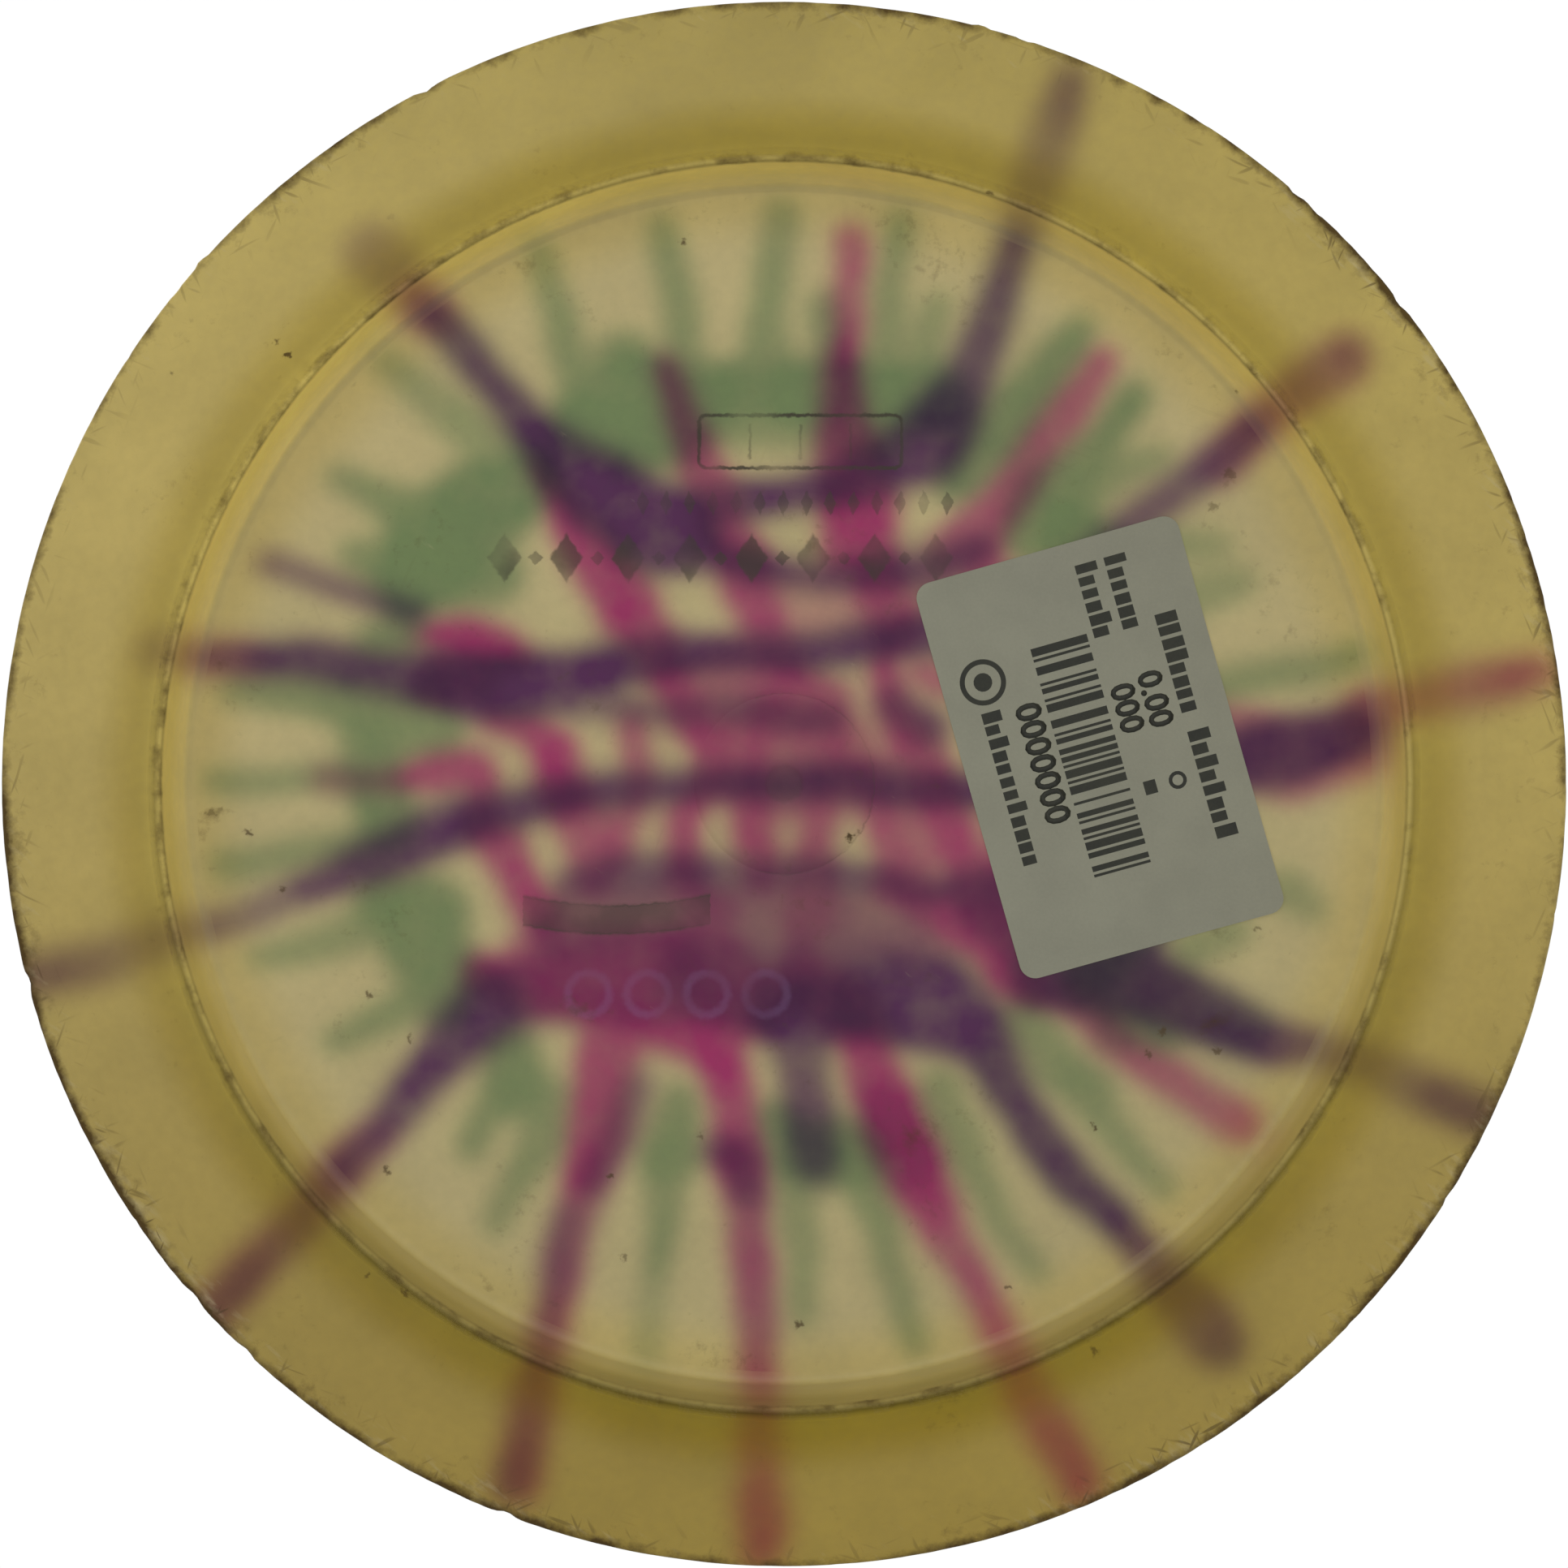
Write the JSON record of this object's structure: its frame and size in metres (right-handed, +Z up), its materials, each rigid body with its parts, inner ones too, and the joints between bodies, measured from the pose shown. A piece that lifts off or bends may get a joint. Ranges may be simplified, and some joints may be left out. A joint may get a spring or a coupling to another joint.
{
  "type": "flying disc",
  "caption": "Round golf-style flying disc: thin domed flight plate in a wide wing-shaped rim, stamped top face, paper price label on the underside.",
  "frame": {"origin": "centre of the circle that the rim's foot rests on, at the bottom of the foot", "axes": "+Z up along the disc's axis through the top of the dome; +Y towards the outlined box of the top stamp; the price label lies under the plate at -X"},
  "size_m": [0.211, 0.211, 0.0169],
  "materials": {
    "plate_plastic": "moulded translucent polyurethane, tie-dyed green, purple and pink, hazy and worn",
    "rim_plastic": "moulded translucent yellow polyurethane, thick, scuffed and dirty at the foot and the nose",
    "stamp_foil": "black hot-stamp foil, satin, rubbed thin",
    "label_gum": "clear yellowish pressure-sensitive gum",
    "label_paper": "matt white thermal label paper",
    "label_ink": "black thermal-transfer ink"
  },
  "bodies": {
    "root": {"flight_plate": "plate_plastic", "rim": "rim_plastic", "hot_stamp_foil": "stamp_foil", "price_label_adhesive": "label_gum", "price_label_paper": "label_paper", "price_label_ink": "label_ink"}
  },
  "joints": []
}
